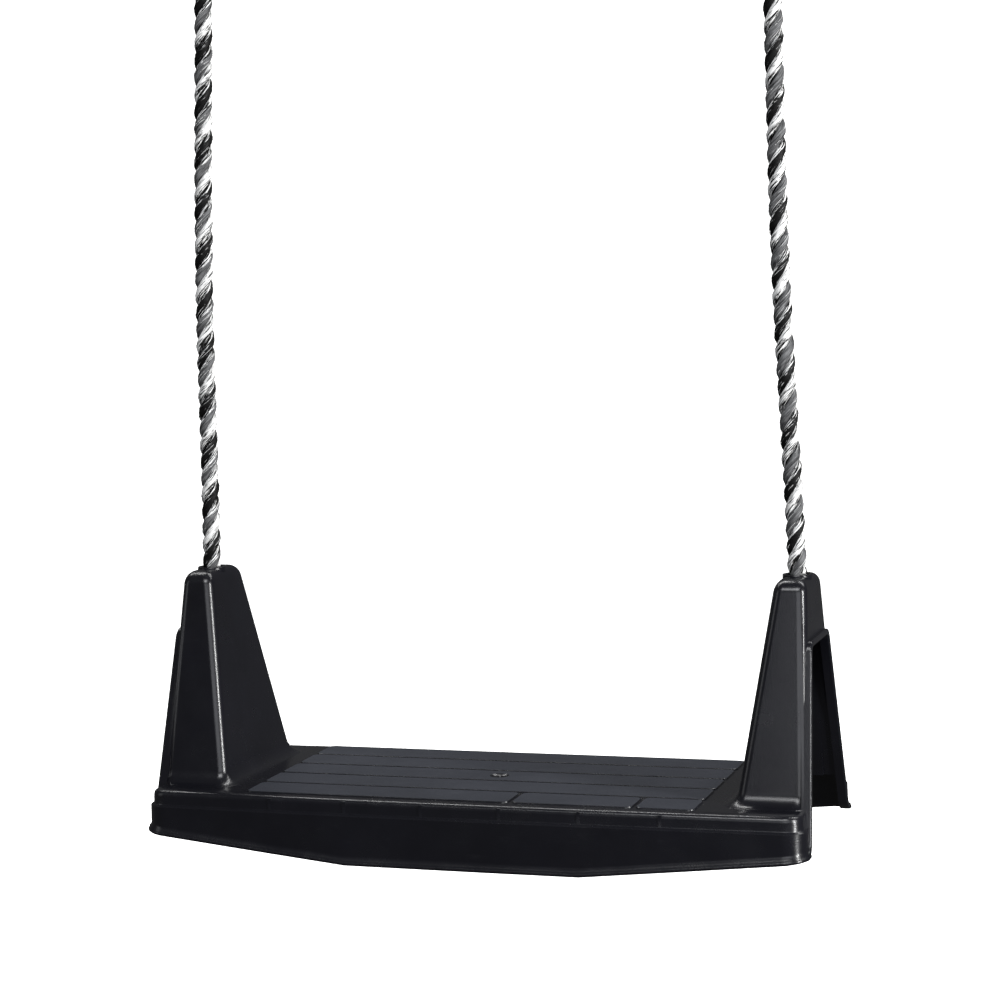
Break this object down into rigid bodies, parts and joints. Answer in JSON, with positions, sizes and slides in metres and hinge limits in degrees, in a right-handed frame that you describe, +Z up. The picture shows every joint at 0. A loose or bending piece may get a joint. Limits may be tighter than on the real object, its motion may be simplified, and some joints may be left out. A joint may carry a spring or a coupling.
{
  "type": "plank swing seat",
  "caption": "Moulded plank swing seat with two hollow towers, hung on twisted ropes with pressed eyes from spring-gate hooks and bolted beam hangers.",
  "frame": {"origin": "on the underside of the beam, midway between the two hangers' plates", "axes": "+X along the seat and the beam, +Y towards the back of the seat, +Z up"},
  "size_m": [0.4836, 0.1764, 0.7875],
  "materials": {
    "seat_plastic": "satin black moulded plastic",
    "rope_fibre": "three-strand twisted rope, one white, one black and one grey strand",
    "zinc_steel": "zinc-plated steel",
    "bright_steel": "bright zinc-plated fastener steel",
    "pressed_alloy": "pressed aluminium sleeve",
    "nylon": "natural nylon"
  },
  "bodies": {
    "hangers": {"left_bracket": "zinc_steel", "left_pivot_bolt": "bright_steel", "left_pivot_nut": "bright_steel", "right_bracket": "zinc_steel", "right_pivot_bolt": "bright_steel", "right_pivot_nut": "bright_steel"},
    "hooks": {"left_hook": "zinc_steel", "left_gate_pin": "bright_steel", "left_bushing_inner": "nylon", "left_bushing_outer": "nylon", "right_hook": "zinc_steel", "right_gate_pin": "bright_steel", "right_bushing_inner": "nylon", "right_bushing_outer": "nylon"},
    "left_gate": {"left_gate": "bright_steel"},
    "right_gate": {"right_gate": "bright_steel"},
    "left_rope": {"left_rope": "rope_fibre", "left_rope_eye": "rope_fibre", "left_thimble": "zinc_steel", "left_ferrule": "pressed_alloy"},
    "right_rope": {"right_rope": "rope_fibre", "right_rope_eye": "rope_fibre", "right_thimble": "zinc_steel", "right_ferrule": "pressed_alloy"},
    "left_knot": {"left_knot": "rope_fibre"},
    "seat": {"seat_shell": "seat_plastic", "right_knot": "rope_fibre"}
  },
  "joints": [
    {"name": "swing", "type": "hinge", "parent": "hangers", "child": "hooks", "pos_m": [0, 0, -0.035], "axis": [1, 0, 0], "range_deg": [-60, 60]},
    {"name": "left_gate_hinge", "type": "hinge", "parent": "hooks", "child": "left_gate", "pos_m": [-0.18684, 0.018, -0.059], "axis": [-1, 0, 0], "range_deg": [0, 25], "stiffness_Nm_per_rad": 0.02, "springref_deg": -17.19},
    {"name": "right_gate_hinge", "type": "hinge", "parent": "hooks", "child": "right_gate", "pos_m": [0.18684, 0.018, -0.059], "axis": [-1, 0, 0], "range_deg": [0, 25], "stiffness_Nm_per_rad": 0.02, "springref_deg": -17.19},
    {"name": "left_sway", "type": "hinge", "parent": "hooks", "child": "left_rope", "pos_m": [-0.18684, 0, -0.107], "axis": [0, 1, 0], "range_deg": [-8, 8]},
    {"name": "right_sway", "type": "hinge", "parent": "hooks", "child": "right_rope", "pos_m": [0.18684, 0, -0.107], "axis": [0, 1, 0], "range_deg": [-8, 8]},
    {"name": "seat_level", "type": "hinge", "parent": "left_rope", "child": "left_knot", "pos_m": [-0.2, 0, -0.60953], "axis": [0, 1, 0], "range_deg": [-8, 8]},
    {"name": "seat_tilt", "type": "hinge", "parent": "left_knot", "child": "seat", "pos_m": [-0.2, 0, -0.60953], "axis": [1, 0, 0], "range_deg": [-15, 15]}
  ],
  "couplings": [
    {"joint": "right_sway", "follows": "left_sway", "ratio": 1},
    {"joint": "seat_level", "follows": "left_sway", "ratio": -0.9342}
  ]
}
